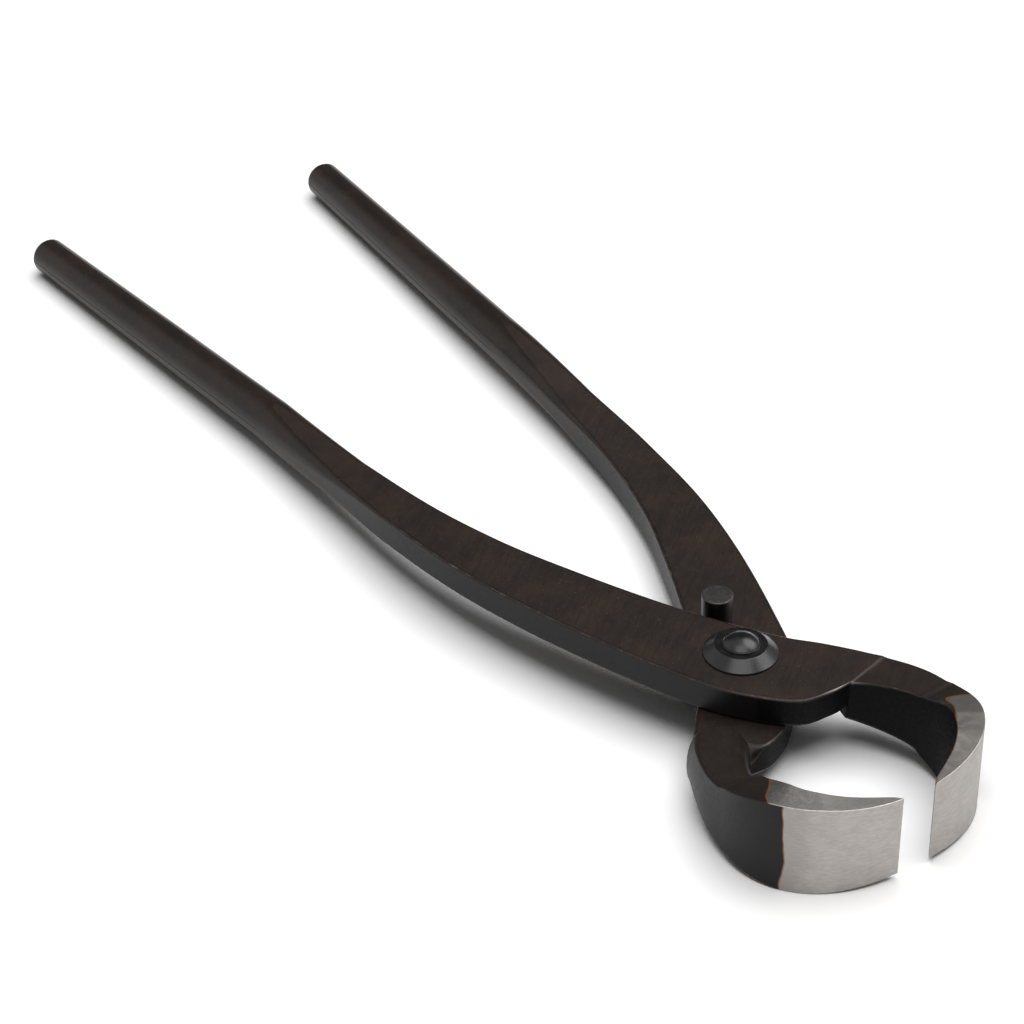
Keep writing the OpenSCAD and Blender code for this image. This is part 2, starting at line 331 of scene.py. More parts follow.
@dataclass
class ForgedArm:
    """One forging, from the rounded handle end through plate and cheek to the cutting edge.

    The lower handle's end, the shoulder's inner corner and the ridge follow the photograph where it
    differs a little from the solid.
    """

    arm: Arm
    node: str
    body: str
    handle_reach: float = 170.0
    handle_spread: float = 32.1
    handle_level: float = 0.0
    reach_vary: float = 3.5
    handle_end_d: float = 6.3
    handle_root_d: float = 7.4
    end_round: float = 0.6
    end_stray: float = 0.75
    root_stray: float = 0.5
    grip_len: float = 70.0
    set_x: float = -45.0
    bend_x: float = -60.0
    flat_run: float = 23.0
    plate_t: float = 4.8
    plate_ease: float = 0.55
    lap_gap: float = 0.1
    cheek_reach: float = 15.3
    nose_cut: float = 1.8
    jaw_reach: float = 41.5
    jaw_h: float = 15.2
    edge_drop: float = 0.8
    edge_land: float = 0.1
    jaw_bulge: float = 19.1
    jaw_vary: float = 0.3
    wall_swell: float = 1.1
    wall_t: float = 6.0
    shoulder_h: float = 2.3
    shoulder_bow: float = 2.7
    ground_ease: float = 0.12
    knuckle_r: float = 2.2
    bulge_x: float = 25.5
    hook_power: float = 2.2
    grind_start: float = 0.86
    grind_end: float = 1.37
    slope_end: float = 1.6
    shoulder_lag: float = 0.75
    bow_start: float = 3.0
    bow_end: float = 0.6
    ridge_step: float = 0.1
    bore_d: float = 5.1
    corner_steps: int = 7
    top_steps: int = 10
    low_steps: int = 16
    side_steps: int = 7
    rib_steps: int = 12
    link_steps: int = 72
    hook_steps: int = 64
    tip_steps: int = 12
    top_line: GrindLine = GrindLine(28.0, 15.2, 0.85, -0.5)
    low_line: GrindLine = GrindLine(27.7, 13.2, 0.56, -0.82)
    out_line: GrindLine = GrindLine(35.4, 15.8, 0.8, -0.6)
    dark_band: float = 1.4
    unground: float = -5.0
    pitted_from: float = 0.9
    roundness: float = 0.96
    flatness: float = 0.65
    ground_from: float = 0.3
    front_ribs: Array = field(init=False)
    back_ribs: Array = field(init=False)

    def __post_init__(self) -> None:
        """Lays out the plate's two edges."""
        y, r = -self.handle_spread / 2, self.handle_root_d / 2
        x0 = self.grip_len - self.handle_reach
        x1 = x0 + self.flat_run
        cut = self.nose_cut if self.arm is Arm.LOWER else 0.0
        nose = self.cheek_reach
        off0, off1 = self.stray(x0), self.stray(x1)
        self.front_ribs = np.array([
            [x0, y + r + off0], [x1, y + r - 0.8 + off1], [self.bend_x, y + 3.0], [self.set_x, y + 5.35],
            [-30, -6.0], [-16, -0.7],
            [-6, 4.0], [0.8, 7.8], [5.2, 11.15], [9.6, 14.1], [13.4, 16.3],
        ])
        self.back_ribs = np.array([
            [x0, y - r + off0], [x1, y - r - 0.7 + off1], [self.bend_x, y - 5.1], [self.set_x, y - 4.75],
            [-29, -18.3], [-12, -14.0], [1.7, -9.5],
            [nose - 6.3 - 0.3 * cut, -5.35 + 0.6 * cut], [nose - 1.2 - 0.8 * cut, -0.6 + 0.3 * cut],
            [nose - 0.15 - 0.1 * cut, 4.2], [nose - 0.1, 8.0],
        ])

    @property
    def end_x(self) -> float:
        """Where the handle's rounded end begins."""
        shorter = self.reach_vary if self.arm is Arm.LOWER else 0.0
        return self.end_round * self.handle_end_d / 2 - self.handle_reach + shorter

    def stray(self, x: float) -> float:
        """How far the handle's centre line is off its place, by hand bending.

        Args:
            x: Where along the arm.

        Returns:
            The distance towards the jaw's outside, in millimetres.
        """
        flats = self.grip_len - self.handle_reach
        if x < flats:
            return self.arm.value * mix(-self.root_stray, self.end_stray, (flats - x) / (flats - self.end_x))
        return -self.arm.value * self.root_stray * clamp01((self.bend_x - x) / (self.bend_x - flats))

    def level(self, x: float) -> float:
        """Level of the arm's middle: the handles lie in one plane, the plates on one another."""
        flats = self.grip_len - self.handle_reach
        return mix(self.plate_mid, self.handle_level, ease((self.set_x - x) / (self.set_x - flats)))

    @property
    def last_rib(self) -> int:
        """Number of the rib at the notch."""
        return len(self.front_ribs) - 1

    @property
    def plate_bottom(self) -> float:
        """Level of the lapped face."""
        return self.lap_gap / 2

    @property
    def plate_top(self) -> float:
        """Level of the plate's own side."""
        return self.plate_bottom + self.plate_t

    @property
    def plate_mid(self) -> float:
        """Level of the plate's middle."""
        return self.plate_bottom + self.plate_t / 2

    def hook_out(self, angle: float) -> Array:
        """The jaw's outside, from 90 degrees at its widest place to 0 at the cutting edge."""
        c, s = (max(wave(math.radians(angle)), 0.0) ** (2 / self.hook_power) for wave in (math.cos, math.sin))
        return np.array([self.bulge_x + (self.jaw_reach - self.bulge_x) * c, self.jaw_bulge * s])

    def hook_in(self, angle: float) -> Array:
        """The jaw's inside, square off the outside."""
        x, y = self.hook_out(max(angle - 0.5, 0)) - self.hook_out(min(angle + 0.5, 90))
        return self.hook_out(angle) + np.array([y, -x]) / np.hypot(x, y) * self.wall_t * math.sqrt(angle / 90)

    def ground(self, q: float) -> float:
        """Share of the jaw's full height at q."""
        share = clamp01((q - self.grind_start) / (self.grind_end - self.grind_start))
        return mix(ease(share), share ** 1.2, 0.3)

    def fall(self, q: float) -> float:
        """How much the ground sides drop towards the edge."""
        return self.edge_drop * clamp01((q - self.slope_end) / (2 - self.slope_end))

    def jaw_top(self, q: float) -> float:
        """Height of the jaw's own side, with the little step past the ridge."""
        rise = self.plate_top + 0.75 * ease(q / 0.8) - self.ridge_step * clamp01(q / 0.04) * (1 - clamp01(q / 0.3))
        return mix(rise, self.jaw_h / 2, self.ground(q)) - self.fall(q)

    def jaw_bottom(self, q: float) -> float:
        """Height of the side that passes the other arm."""
        return self.fall(q) - mix(self.shoulder_h * (1 + max(q, 0)), self.jaw_h / 2, self.ground(q))

    def jaw_ease(self, q: float) -> float:
        """Rounding of the jaw's corners at q."""
        return mix(self.plate_ease, self.ground_ease, clamp01(q / self.grind_end))

    def vary(self, q: float) -> float:
        """How far hand work moves the jaw's outside."""
        return self.arm.value * self.jaw_vary * (ease(q / 0.8) if q < 1 else math.sqrt(max(2 - q, 0)))

    def knuckle(self, q: float) -> float:
        """Extra rounding of the shoulder's inner corner at q."""
        radius = self.knuckle_r if self.arm is Arm.LOWER else 0.3
        return radius * ease((q + 0.7) / 0.6) * (1 - ease((q - 0.75) / 0.5))

    def swell(self, q: float) -> float:
        """How far the forged wall stands out beside the cheek."""
        return self.wall_swell * ease((q + 0.6) / 0.6) * (1 - ease(q))

    def front_path(self, t: float) -> Array:
        """The edge that faces the other handle, and on along the jaw's outside."""
        past = t - self.last_rib
        return through(self.front_ribs, t) if past <= 0 else hermite(
            self.front_ribs[-1], (12, 5.6), self.hook_out(90), (13, 0), past)

    def bow(self, t: float) -> float:
        """Share of the shoulder's bow at t."""
        past = t - self.last_rib
        return ease(1 + past / self.bow_start) if past <= 0 else 1 - ease(past / self.bow_end)

    def shoulder(self, t: float, q: float) -> tuple[Array, float, float, float]:
        """A section's last four fields: its low front point, bow, t and extra rounding."""
        low_front = self.front_path(t - self.shoulder_lag * self.bow(t))
        return low_front, self.shoulder_bow * self.bow(t), t, self.knuckle(q)

    def bar(self, x: float, r: float) -> Station:
        """A round section of the handle."""
        y, z = -self.handle_spread / 2 + self.stray(x), self.level(x)
        return Station(np.array([x, y - r]), np.array([x, y + r]), z - r, z + r, self.roundness * r, r)

    def handle_end(self) -> list[Station]:
        """The rounded end of the handle.

        Returns:
            Its sections, from the tip on.
        """
        r = self.handle_end_d / 2
        angles = [math.radians(mix(3, 90, i / self.tip_steps)) for i in range(self.tip_steps + 1)]
        return [self.bar(self.end_x - self.end_round * r * math.cos(a), r * math.sin(a)) for a in angles]

    def rib(self, t: float) -> Station:
        """A section of the grip's flats and the plate.

        Args:
            t: Number of the rib, with parts.

        Returns:
            The section.
        """
        back, front = through(self.back_ribs, t), through(self.front_ribs, t)
        root = self.handle_root_d / 2
        half = mix(root, self.plate_t / 2, t) if t < 1 else self.plate_t / 2
        shed = ease(t / 2)
        wide = self.roundness * float(np.hypot(*(front - back))) / 2
        q = t - self.last_rib
        z = self.level((back[0] + front[0]) / 2)
        return Station(
            back, front, z - half if q < 0 else self.jaw_bottom(0), z + half,
            mix(wide, self.plate_ease, shed ** 0.35), mix(half, self.plate_ease * self.flatness, shed), q,
            0.0, self.swell(q), *self.shoulder(t, q))

    def link(self, q: float) -> Station:
        """A section between the notch and the jaw's widest place.

        Args:
            q: Steps past the notch.

        Returns:
            The section.
        """
        t = self.last_rib + q
        back = hermite(self.back_ribs[-1], (4.5, 5.5), self.hook_in(90), (9, 0.8), q)
        soft = self.jaw_ease(q)
        return Station(back, self.front_path(t), self.jaw_bottom(q), self.jaw_top(q), soft, soft * self.flatness,
                       q, self.vary(q), self.swell(q), *self.shoulder(t, q))

    def hook(self, angle: float) -> Station:
        """A section of the hook.

        Args:
            angle: 90 degrees at the jaw's widest place, 0 at the cutting edge.

        Returns:
            The section.
        """
        q = 2 - angle / 90
        back, front = self.hook_in(angle), self.hook_out(angle)
        soft = min(self.jaw_ease(q), float(np.hypot(*(back - front))) / 3)
        return Station(back, front, self.jaw_bottom(q), self.jaw_top(q), soft, soft, q, self.vary(q))

    def stations(self) -> list[Station]:
        """The whole arm's sections.

        Returns:
            All of them, from the handle's end to the cutting edge.
        """
        ribs = [self.rib(i / self.rib_steps) for i in range(self.last_rib * self.rib_steps - 1)]
        ribs += [self.rib(self.last_rib - f) for f in (0.1, 0.055)]
        ribs += [self.rib(self.last_rib)]
        links = [self.link((i / self.link_steps) ** 1.3) for i in range(1, self.link_steps + 1)]
        hooks = [self.hook(90 * i / self.hook_steps) for i in range(self.hook_steps - 1, 0, -1)]
        land = self.edge_land
        edge = Station(np.array([self.jaw_reach - land, 0.0]), np.array([self.jaw_reach, 0.0]), self.jaw_bottom(2),
                       self.jaw_top(2), land / 3, land / 3, 2.0)
        return self.handle_end() + ribs + links + hooks + [edge]

    def ring(self, s: Station) -> Ring:
        """The points of one section.

        Args:
            s: The section.

        Returns:
            The points in order round it, each with a note: its side (-1 back, 1 front, 0 between), its
            level (-1 low, 1 high, 0 between) and how far it is into a rounded corner.
        """
        into = [90 * i / self.corner_steps for i in range(self.corner_steps + 1)]
        out = into[::-1]
        return [*s.corner(1, 1, into), *s.across(1, self.top_steps), *s.corner(-1, 1, out),
                *s.upright(-1, self.side_steps), *s.corner(-1, -1, into), *s.across(-1, self.low_steps),
                *s.corner(1, -1, out), *s.upright(1, self.side_steps)]

    def marks(self, s: Station, point: Array, note: Triple) -> dict[Mark, float]:
        """What one point remembers for the finish.

        Args:
            s: The section it is on.
            point: The point.
            note: Its side, level and share of a rounded corner.

        Returns:
            A value for each mark.
        """
        side, level, into = note
        x, y = point[0], point[1]
        if side > 0 and (level == 0 or (into == 0 and s.way >= self.ground_from)):
            shine = self.out_line.past(x, y)
        elif level == 0 or s.way < self.ground_from:
            shine = self.unground
        elif level > 0:
            inner = float(np.hypot(*(point[:2] - s.back))) - self.dark_band * clamp01((1.5 - s.way) / 0.4)
            shine = soft_least(self.top_line.past(x, y), inner, 1.2)
        else:
            shine = self.low_line.past(x, y)
        # Nose and ridge: bright steel on the nose's top corner (rubbed corner, partly a painted highlight) and a
        # faint painted highlight line across the top at the ridge.
        nose = hump(s.way, -0.6, 0.95) if side < 0 and level > 0 else 0.0
        ridge = hump(s.way, 0.02, 0.05) if level > 0 else 0.0
        plate = clamp01((s.t - 0.3) / 2) if s.way < 0.5 else 1.0
        low_pit = 0.35 if level < 0 and s.way > -2 else 0.0
        pit = 1.0 if side < 0 and level == 0 and s.way > -3 else low_pit
        return {
            Mark.SHINE: shine,
            Mark.WEAR: into * plate,
            Mark.POLISH_AND_HIGHLIGHT: max(into * nose, 0.08 * ridge),
            Mark.PIT: pit,
            Mark.FLAT: 1.0 if side == 0 and s.t > 0 else 0.0,
            Mark.WALL: plate if side != 0 and level == 0 else 0.0,
        }

    def mesh(self, setting: Setting) -> bpy.types.Mesh:
        """Skins the sections.

        Args:
            setting: Where the drawing stands in the frame.

        Returns:
            A closed mesh that carries the marks.
        """
        points: list[Array] = []
        marks: dict[Mark, list[float]] = {mark: [] for mark in Mark}
        stations = self.stations()
        for station in stations:
            for point, note in self.ring(station):
                points.append(point)
                for mark, value in self.marks(station, point, note).items():
                    marks[mark].append(value)
        rings, count = len(stations), len(points) // len(stations)
        faces: list[tuple[int, ...]] = []
        for i in range(rings - 1):
            for j in range(count):
                a, b = i * count + j, i * count + (j + 1) % count
                faces.append((a, a + count, b + count, b))
        faces.append(tuple(range(count)))
        faces.append(tuple((rings - 1) * count + j for j in range(count - 1, -1, -1)))
        placed = setting.turn(np.array(points), self.arm)
        mesh = bpy.data.meshes.new(self.node + "_forged")
        mesh.from_pydata(placed.tolist(), [], faces)
        for mark, values in marks.items():
            layer = mesh.attributes.new(mark.value, "FLOAT", "POINT")
            layer.data.foreach_set("value", np.array(values, np.float32))
        mesh.update()
        return mesh

    def build(self, setting: Setting, plain: Material, scaled: Material) -> Piece:
        """Makes the arm, bores it for the rivet, dresses it and puts it on its body.

        Args:
            setting: Where the drawing stands in the frame.
            plain: Its finish.
            scaled: The finish of the jaw's inner wall and the cheek's side, left as forged.

        Returns:
            The arm's object.
        """
        piece = add_object(self.node + "_forged", self.mesh(setting))
        bore(piece, setting.pivot, self.bore_d)
        smooth(piece, FORGED_EDGE)
        piece.data.materials.append(plain)
        piece.data.materials.append(scaled)
        pits = np.zeros(len(piece.data.vertices), np.float32)
        piece.data.attributes[Mark.PIT.value].data.foreach_get("value", pits)
        for face in piece.data.polygons:
            face.material_index = int(min(pits[i] for i in face.vertices) > self.pitted_from)
        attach(piece, self.body)
        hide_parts(self.node)
        return piece


def add_object(name: str, data: bpy.types.ID) -> Piece:
    """Puts a mesh, a lamp or a camera in the scene.

    Args:
        name: The object's name.
        data: What it shows.

    Returns:
        The object.
    """
    added = bpy.data.objects.new(name, data)
    bpy.context.scene.collection.objects.link(added)
    return added


def smooth(piece: Piece, angle: float) -> None:
    """Shades a piece smoothly, with edges kept sharp above an angle in degrees."""
    piece.data.shade_smooth()
    piece.data.set_sharp_from_angle(angle=math.radians(angle))


def lathe(name: str, outline: Outline, centre: Triple, steps: int = 144) -> bpy.types.Mesh:
    """Turns an outline round a vertical line.

    Args:
        name: Name of the mesh.
        outline: Radius and height of each point, anticlockwise as seen with Z up.
        centre: Where the line stands, and its zero height.
        steps: Number of steps round.

    Returns:
        The turned mesh, in metres. Points on the line are joined into one.
    """
    vertices: list[Triple] = []
    rows: list[list[int]] = []
    for radius, height in outline:
        if radius < ON_LINE:
            rows.append([len(vertices)] * steps)
            vertices.append((centre[0], centre[1], centre[2] + height))
            continue
        rows.append(list(range(len(vertices), len(vertices) + steps)))
        for i in range(steps):
            a = 2 * math.pi * i / steps
            vertices.append((centre[0] + radius * math.cos(a), centre[1] + radius * math.sin(a), centre[2] + height))
    closed = outline[0][0] > ON_LINE
    faces: list[tuple[int, ...]] = []
    for k in range(len(rows) if closed else len(rows) - 1):
        low, high = rows[k], rows[(k + 1) % len(rows)]
        for i in range(steps):
            j = (i + 1) % steps
            face = tuple(dict.fromkeys((low[i], low[j], high[j], high[i])))
            if len(face) > 2:
                faces.append(face)
    mesh = bpy.data.meshes.new(name)
    mesh.from_pydata([tuple(c * MM for c in v) for v in vertices], [], faces)
    mesh.update()
    return mesh


def filleted(outline: Sequence[Triple], steps: int = 6) -> Outline:
    """Rounds the corners of an outline.

    Args:
        outline: Radius, height and corner rounding of each point. A rounding of 0 keeps the corner.
        steps: Steps of each rounding.

    Returns:
        The points with arcs at the corners, and a close point on each side of an arc to hold the flats.
    """
    result: Outline = []
    count = len(outline)
    for i, (x, y, r) in enumerate(outline):
        if r <= 0:
            result.append((x, y))
            continue
        here = np.array([x, y])
        before = np.array(outline[i - 1][:2]) - here
        after = np.array(outline[(i + 1) % count][:2]) - here
        before, after = before / np.hypot(*before), after / np.hypot(*after)
        half = math.acos(max(-1.0, min(1.0, float(before @ after)))) / 2
        back = r / math.tan(half)
        a, b = here + before * back, here + after * back
        middle = here + (before + after) / np.hypot(*(before + after)) * r / math.sin(half)
        first, last = (math.atan2(*(p - middle)[::-1]) for p in (a, b))
        span = (last - first + math.pi) % (2 * math.pi) - math.pi
        result.append(tuple(a + before * HOLD_GAP))
        for k in range(steps + 1):
            turn = first + span * k / steps
            result.append((middle[0] + r * math.cos(turn), middle[1] + r * math.sin(turn)))
        result.append(tuple(b + after * HOLD_GAP))
    return result


def bore(piece: Piece, centre: Triple, diameter: float) -> None:
    """Bores a piece right through.

    Args:
        piece: What is bored.
        centre: A point on the bore's line.
        diameter: The bore's diameter.
    """
    r = diameter / 2
    outline = [(0.0, -DRILL_REACH), (r, -DRILL_REACH), (r, DRILL_REACH), (0.0, DRILL_REACH)]
    drill = add_object("drill", lathe("drill", outline, centre, 96))
    cut = piece.modifiers.new("bore", "BOOLEAN")
    cut.operation = "DIFFERENCE"
    cut.solver = "EXACT"
    cut.object = drill
    graph = bpy.context.evaluated_depsgraph_get()
    mesh = bpy.data.meshes.new_from_object(piece.evaluated_get(graph))
    piece.modifiers.clear()
    old, piece.data = piece.data, mesh
    bpy.data.meshes.remove(old)
    bpy.data.objects.remove(drill)


def sphere_cap(width: float, height: float, base: float, steps: int) -> Outline:
    """Outline of a low dome from its rim to its top.

    Args:
        width: The dome's diameter at its foot.
        height: Its height.
        base: The level of its foot.
        steps: Number of steps up.

    Returns:
        Radius and height of each point.
    """
    radius = (width * width / 4 + height * height) / (2 * height)
    foot = math.asin(width / 2 / radius)
    turns = [foot * (1 - i / steps) for i in range(steps + 1)]
    return [(radius * math.sin(a), base + height - radius + radius * math.cos(a)) for a in turns]


@dataclass
class RivetJoint:
    """The rivet through both plates, with a coned washer under its head and another under its peened end."""

    body: str = "lower_arm_body"
    plate_top: float = 4.85
    shank_d: float = 5.0
    washer_play: float = 0.05
    collar_d: float = 5.9
    collar_h: float = 0.3
    dome_h: float = 1.15
    dome_step: float = 0.25
    washer_d: float = 11.3
    washer_top_d: float = 7.9
    top_washer_h: float = 1.7
    bottom_washer_h: float = 1.2
    washer_rim_h: float = 0.25
    peened_d: float = 6.6
    peened_h: float = 0.6

    def rivet_outline(self) -> Outline:
        """The rivet's outline.

        Returns:
            Radius and height of each point, from the peened end to the head.
        """
        foot = -(self.plate_top + self.bottom_washer_h)
        collar = self.plate_top + self.washer_play + self.top_washer_h
        shank, rim = self.shank_d / 2, self.collar_d / 2
        peened = [(r, -z) for r, z in sphere_cap(self.peened_d, self.peened_h, -foot, 14)][::-1]
        neck = [(shank, foot), (shank, collar)]
        ring = filleted([(shank, collar, 0.0), (rim, collar, 0.0), (rim, collar + self.collar_h, 0.1),
                         (rim - self.dome_step, collar + self.collar_h, 0.0)])[1:-1]
        dome = sphere_cap(self.collar_d - 2 * self.dome_step, self.dome_h, collar + self.collar_h, 26)
        return peened + neck + ring + dome

    def washer_outline(self, height: float) -> Outline:
        """Outline of a coned washer of this height."""
        bore_r, rim, top = self.shank_d / 2, self.washer_d / 2, self.washer_top_d / 2
        return filleted([(bore_r, 0.0, 0.0), (rim, 0.0, 0.05), (rim, self.washer_rim_h, 0.12), (top, height, 0.22),
                         (bore_r, height, 0.0)])

    def build(self, setting: Setting, material: Material) -> list[Piece]:
        """Makes the rivet and both washers and puts them on the lower arm's body.

        Args:
            setting: Where the drawing stands in the frame.
            material: Their finish.

        Returns:
            The three objects.
        """
        top = [(r, h + self.plate_top + self.washer_play) for r, h in self.washer_outline(self.top_washer_h)]
        low = [(r, -h - self.plate_top) for r, h in self.washer_outline(self.bottom_washer_h)][::-1]
        pieces = []
        for node, outline in (("pivot_rivet", self.rivet_outline()), ("top_washer", top), ("bottom_washer", low)):
            piece = add_object(node + "_turned", lathe(node, outline, setting.pivot))
            smooth(piece, TURNED_EDGE)
            piece.data.materials.append(material)
            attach(piece, self.body)
            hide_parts(node)
            pieces.append(piece)
        return pieces


@dataclass
class StopPin:
    """The pin that stands in the lower arm's plate and stops the upper arm."""

    body: str = "lower_arm_body"
    centre: tuple[float, float] = (-11.9242, 4.5371)
    pin_d: float = 4.8
    pin_h: float = 6.4
    foot: float = -4.85
    soft: float = 0.22

    def build(self, setting: Setting, material: Material) -> Piece:
        """Makes the pin and puts it on the lower arm's body.

        Args:
            setting: Where the drawing stands in the frame.
            material: Its finish.

        Returns:
            The pin's object.
        """
        r = self.pin_d / 2
        corners = filleted([(0.0, self.foot, 0.0), (r, self.foot, 0.05), (r, self.pin_h, self.soft),
                            (0.0, self.pin_h, 0.0)])
        x, y = self.centre
        foot = (setting.pivot_x + x, setting.pivot_y + y, setting.pivot_z)
        piece = add_object("stop_pin_turned", lathe("stop_pin", corners, foot, 96))
        smooth(piece, TURNED_EDGE)
        piece.data.materials.append(material)
        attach(piece, self.body)
        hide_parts("stop_pin")
        return piece


class Graph:
    """Lays nodes in one tree, with plain words for the ones used here."""

    def __init__(self, tree: Tree) -> None:
        """Starts on a tree."""
        self.tree = tree

    def node(self, kind: str, **settings: object) -> Node:
        """Adds a node.

        Args:
            kind: Its type.
            settings: Its properties.

        Returns:
            The node.
        """
        made = self.tree.nodes.new(kind)
        for name, value in settings.items():
            setattr(made, name, value)
        return made

    def put(self, socket: Socket, value: Value) -> None:
        """Fills a socket.

        Args:
            socket: An input.
            value: A number, a colour or vector, or another socket to link into it.
        """
        if isinstance(value, Socket):
            self.tree.links.new(value, socket)
        elif isinstance(value, (int, float)):
            socket.default_value = value
        else:
            wide = len(socket.default_value)
            socket.default_value = tuple(value) + (1.0,) * (wide - len(value))

    def fill(self, node: Node, **values: Value) -> Node:
        """Fills a node's inputs.

        Args:
            node: The node.
            values: Input names, with an underscore between words, and what goes in.

        Returns:
            The node.
        """
        for name, value in values.items():
            self.put(node.inputs[name.replace("_", " ").title()], value)
        return node

    def millimetres(self) -> Socket:
        """The point's place on the piece, in millimetres."""
        place = self.node("ShaderNodeTexCoord").outputs["Object"]
        return self.fill(self.node("ShaderNodeVectorMath", operation="SCALE"), vector=place, scale=1000.0).outputs[0]

    def mark(self, mark: Mark) -> Socket:
        """A mark that the mesh carries."""
        return self.node("ShaderNodeAttribute", attribute_name=mark.value).outputs["Fac"]

    def feed(self, node: Node, values: Sequence[Value], numbers: Sequence[int] = (0, 1)) -> Node:
        """Fills a node's inputs by number.

        Args:
            node: The node.
            values: What goes in.
            numbers: Numbers of the inputs.

        Returns:
            The node.
        """
        for number, value in zip(numbers, values):
            self.put(node.inputs[number], value)
        return node

    def calc(self, kind: str, a: Value, b: Value = 0.0, clamp: bool = False) -> Socket:
        """A calculation of one kind on numbers, such as MAXIMUM."""
        return self.feed(self.node("ShaderNodeMath", operation=kind, use_clamp=clamp), (a, b)).outputs[0]

    def times(self, a: Value, b: Value) -> Socket:
        """The product of two numbers."""
        return self.calc("MULTIPLY", a, b)

    def plus(self, a: Value, b: Value) -> Socket:
        """The sum of two numbers."""
        return self.calc("ADD", a, b)

    def vector(self, kind: str, a: Value, b: Value) -> Node:
        """A calculation of one kind on vectors, such as DOT_PRODUCT."""
        return self.feed(self.node("ShaderNodeVectorMath", operation=kind), (a, b))

    def stretched(self, place: Value, by: Triple) -> Socket:
        """The place stretched, for grain that runs one way."""
        return self.vector("MULTIPLY", place, by).outputs[0]

    def height(self, place: Value) -> Socket:
        """The Z of a place."""
        return self.fill(self.node("ShaderNodeSeparateXYZ"), vector=place).outputs["Z"]

    def step(self, value: Value, low: float, high: float, to_low: float = 0.0, to_high: float = 1.0) -> Socket:
        """A smooth step of a value between two levels."""
        made = self.node("ShaderNodeMapRange", interpolation_type="SMOOTHSTEP")
        return self.fill(made, value=value, from_min=low, from_max=high, to_min=to_low, to_max=to_high).outputs[0]

    def blend(self, share: Value, a: Value, b: Value) -> Socket:
        """A mix of two colours."""
        return self.feed(self.node("ShaderNodeMix", data_type="RGBA"), (share, a, b), (0, 6, 7)).outputs[2]

    def between(self, share: Value, a: Value, b: Value) -> Socket:
        """A mix of two numbers."""
        return self.feed(self.node("ShaderNodeMix", data_type="FLOAT"), (share, a, b), (0, 2, 3)).outputs[0]

    def noise(self, place: Value, scale: Value, detail: float, rough: float) -> Socket:
        """Noise of a scale, in features a millimetre."""
        made = self.node("ShaderNodeTexNoise")
        return self.fill(made, vector=place, scale=scale, detail=detail, roughness=rough).outputs["Fac"]

    def bump(self, height: Value, strength: float, distance: float) -> Socket:
        """A normal that follows a height, over a distance in metres."""
        made = self.node("ShaderNodeBump")
        return self.fill(made, height=height, strength=strength, distance=distance).outputs[0]

    def group(self, tree: Tree, **values: Value) -> Socket:
        """Places a shared effect and gives its mask."""
        return self.fill(self.node("ShaderNodeGroup", node_tree=tree), **values).outputs["Mask"]


def effect(name: str, inputs: dict[str, str], make: Callable[[Graph, Sockets], Socket]) -> Tree:
    """Builds a shared effect once.

    Args:
        name: Its name.
        inputs: Names and socket kinds of its inputs.
        make: Lays its nodes and returns the mask.

    Returns:
        The node group, with one output named Mask.
    """
    tree = bpy.data.node_groups.new(name, "ShaderNodeTree")
    for word, kind in inputs.items():
        tree.interface.new_socket(word, in_out="INPUT", socket_type=kind)
    tree.interface.new_socket("Mask", in_out="OUTPUT", socket_type="NodeSocketFloat")
    graph = Graph(tree)
    start = graph.node("NodeGroupInput")
    end = graph.node("NodeGroupOutput")
    graph.put(end.inputs["Mask"], make(graph, {word: start.outputs[word] for word in inputs}))
    return tree


@dataclass
class Effects:
    """The effects that more than one finish uses."""

    mottle: Tree = field(init=False)
    scratches: Tree = field(init=False)
    rings: Tree = field(init=False)
    worn: Tree = field(init=False)
    pits: Tree = field(init=False)

    def __post_init__(self) -> None:
        """Builds them all."""
        place, number = "NodeSocketVector", "NodeSocketFloat"
        self.mottle = effect("oxide_mottle", {"Place": place, "Scale": number}, self.make_mottle)
        self.scratches = effect("grinding_scratches", {"Place": place, "Turn": number, "Scale": number},
                                self.make_scratches)
        self.rings = effect("wheel_grain", {"Place": place, "Scale": number}, self.make_rings)
        self.worn = effect("worn_corners", {"Place": place, "Corner": number, "Reach": number}, self.make_worn)
        self.pits = effect("forging_pits", {"Place": place, "Scale": number}, self.make_pits)

    @staticmethod
    def make_mottle(g: Graph, s: Sockets) -> Socket:
        """Soft clouds in the oxide."""
        return g.step(g.noise(s["Place"], s["Scale"], 4.0, 0.6), 0.36, 0.66)

    @staticmethod
    def make_scratches(g: Graph, s: Sockets) -> Socket:
        """Fine lines that run one way, turned about Z."""
        turned = g.fill(g.node("ShaderNodeVectorRotate", rotation_type="Z_AXIS"), vector=s["Place"], angle=s["Turn"])
        return g.step(g.noise(g.stretched(turned.outputs[0], (0.10, 2.2, 2.2)), s["Scale"], 5.0, 0.7), 0.40, 0.64)

    @staticmethod
    def make_rings(g: Graph, s: Sockets) -> Socket:
        """Level lines left by a grinding wheel on an upright wall."""
        return g.step(g.noise(g.stretched(s["Place"], (0.3, 0.3, 2.4)), s["Scale"], 6.0, 0.72), 0.36, 0.66)

    @staticmethod
    def make_worn(g: Graph, s: Sockets) -> Socket:
        """Corners rubbed through here and there."""
        patchy = g.plus(g.noise(s["Place"], 0.55, 4.0, 0.65), s["Reach"])
        return g.step(g.times(s["Corner"], patchy), 0.62, 0.95)

    @staticmethod
    def make_pits(g: Graph, s: Sockets) -> Socket:
        """Small pits of forge scale."""
        return g.step(g.noise(s["Place"], s["Scale"], 4.0, 0.75), 0.42, 0.62)


def fresh_graph(holder: Material | bpy.types.World) -> Graph:
    """Empties the nodes of a material or a world.

    Args:
        holder: The material or the world.

    Returns:
        Its graph.
    """
    holder.use_nodes = True
    holder.node_tree.nodes.clear()
    return Graph(holder.node_tree)


